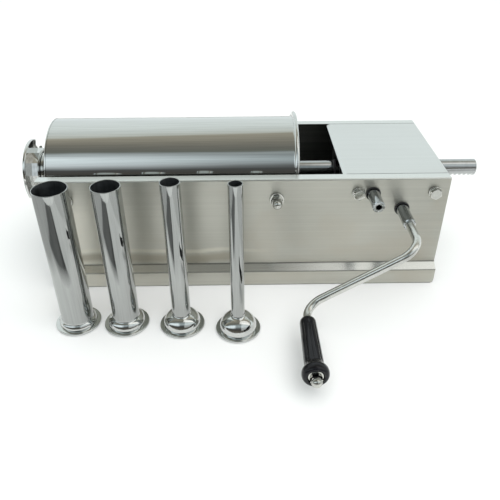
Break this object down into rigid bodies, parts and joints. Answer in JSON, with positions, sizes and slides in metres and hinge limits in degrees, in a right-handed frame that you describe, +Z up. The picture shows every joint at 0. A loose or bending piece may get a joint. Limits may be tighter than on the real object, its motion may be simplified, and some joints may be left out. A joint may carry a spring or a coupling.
{
  "type": "sausage stuffer",
  "caption": "Horizontal crank-driven sausage stuffer: polished cylinder and rack-driven piston in a sheet steel housing with a two-speed gearbox, and loose filling tubes.",
  "frame": {"origin": "middle of the underside of the housing's base plate, on the table", "axes": "+Z up, -X out of the filling outlet, -Y towards the crank side"},
  "size_m": [0.6054, 0.4301, 0.1965],
  "materials": {
    "housing_steel": "brushed",
    "polished_steel": "mirror polished",
    "fastener_steel": "satin",
    "gear_steel": "machined",
    "black_plastic": "gloss",
    "silicone": "matte",
    "bronze": "machined"
  },
  "bodies": {
    "housing": {"base_plate": "housing_steel", "front_panel": "housing_steel", "rear_panel": "housing_steel", "left_end_plate": "housing_steel", "right_end_plate": "housing_steel", "gearbox_cover": "housing_steel", "left_cradle": "housing_steel", "right_cradle": "housing_steel", "left_cradle_front_nut": "fastener_steel", "left_cradle_rear_nut": "fastener_steel", "right_cradle_front_nut": "fastener_steel", "right_cradle_rear_nut": "fastener_steel", "front_bearing_plate": "gear_steel", "front_gear_plate": "gear_steel", "rear_gear_plate": "gear_steel", "front_bolt_1": "fastener_steel", "front_bolt_2": "fastener_steel", "rear_bolt_1": "fastener_steel", "rear_bolt_2": "fastener_steel", "front_spacer_1": "gear_steel", "front_spacer_2": "gear_steel", "rear_spacer_1": "gear_steel", "rear_spacer_2": "gear_steel", "slow_shaft_bush": "black_plastic", "fast_shaft_bush": "black_plastic", "slow_inner_bush": "bronze", "fast_inner_bush": "bronze", "main_front_bush": "bronze", "main_rear_bush": "bronze", "rack_guide_bracket": "black_plastic", "rack_guide_bush": "black_plastic", "end_guide_bush": "black_plastic", "cylinder": "polished_steel", "cylinder_end_cap": "polished_steel", "outlet_neck": "polished_steel"},
    "rack": {"rack": "gear_steel", "piston_disc": "polished_steel", "piston_seal": "silicone", "piston_back_plate": "polished_steel", "piston_nut": "polished_steel"},
    "main_shaft": {"main_shaft": "gear_steel", "main_gear": "gear_steel", "rack_pinion": "gear_steel"},
    "slow_shaft": {"slow_shaft": "gear_steel", "slow_gear": "gear_steel"},
    "fast_shaft": {"fast_shaft": "gear_steel", "fast_gear": "gear_steel"},
    "crank": {"crank_rod": "fastener_steel", "grip_washer": "fastener_steel", "grip_nut": "fastener_steel"},
    "grip": {"crank_grip": "black_plastic"},
    "outlet_seal": {"outlet_gasket": "silicone"},
    "ring_nut": {"ring_nut": "polished_steel"},
    "tube_38": {"tube_38": "polished_steel"},
    "tube_32": {"tube_32": "polished_steel"},
    "tube_22": {"tube_22": "polished_steel"},
    "tube_16": {"tube_16": "polished_steel"}
  },
  "joints": [
    {"name": "rack_slide", "type": "slide", "parent": "housing", "child": "rack", "axis": [1, 0, 0], "range_m": [0, 0.325]},
    {"name": "main_shaft_spin", "type": "hinge", "parent": "housing", "child": "main_shaft", "pos_m": [0.15609, 0, 0.0995], "axis": [0, 1, 0], "range_deg": [0, 1552]},
    {"name": "slow_shaft_spin", "type": "hinge", "parent": "housing", "child": "slow_shaft", "pos_m": [0.1586, 0, 0.131], "axis": [0, 1, 0], "range_deg": [-3880, 0]},
    {"name": "fast_shaft_spin", "type": "hinge", "parent": "housing", "child": "fast_shaft", "pos_m": [0.19691, 0, 0.1098], "axis": [0, 1, 0], "range_deg": [-1792, 0]},
    {"name": "crank_pull", "type": "slide", "parent": "fast_shaft", "child": "crank", "axis": [0, -1, 0], "range_m": [0, 0.03]},
    {"name": "grip_spin", "type": "hinge", "parent": "crank", "child": "grip", "pos_m": [0.0715, 0, 0.03], "axis": [0, 1, 0], "continuous": true},
    {"name": "nut_travel", "type": "slide", "parent": "housing", "child": "outlet_seal", "axis": [-1, 0, 0], "range_m": [0, 0.012]},
    {"name": "nut_turn", "type": "hinge", "parent": "outlet_seal", "child": "ring_nut", "pos_m": [-0.28, 0, 0.1192], "axis": [-1, 0, 0], "range_deg": [0, 1080]},
    {"name": "tube_38_lift", "type": "slide", "parent": "housing", "child": "tube_38", "axis": [0, 0, 1], "range_m": [0, 0.3]},
    {"name": "tube_32_lift", "type": "slide", "parent": "housing", "child": "tube_32", "axis": [0, 0, 1], "range_m": [0, 0.3]},
    {"name": "tube_22_lift", "type": "slide", "parent": "housing", "child": "tube_22", "axis": [0, 0, 1], "range_m": [0, 0.3]},
    {"name": "tube_16_lift", "type": "slide", "parent": "housing", "child": "tube_16", "axis": [0, 0, 1], "range_m": [0, 0.3]}
  ],
  "couplings": [
    {"joint": "main_shaft_spin", "follows": "rack_slide", "rad_per_m": 83.333},
    {"joint": "slow_shaft_spin", "follows": "rack_slide", "rad_per_m": -208.33},
    {"joint": "fast_shaft_spin", "follows": "rack_slide", "rad_per_m": -96.154},
    {"joint": "nut_travel", "follows": "nut_turn", "m_per_rad": 0.00063662}
  ]
}
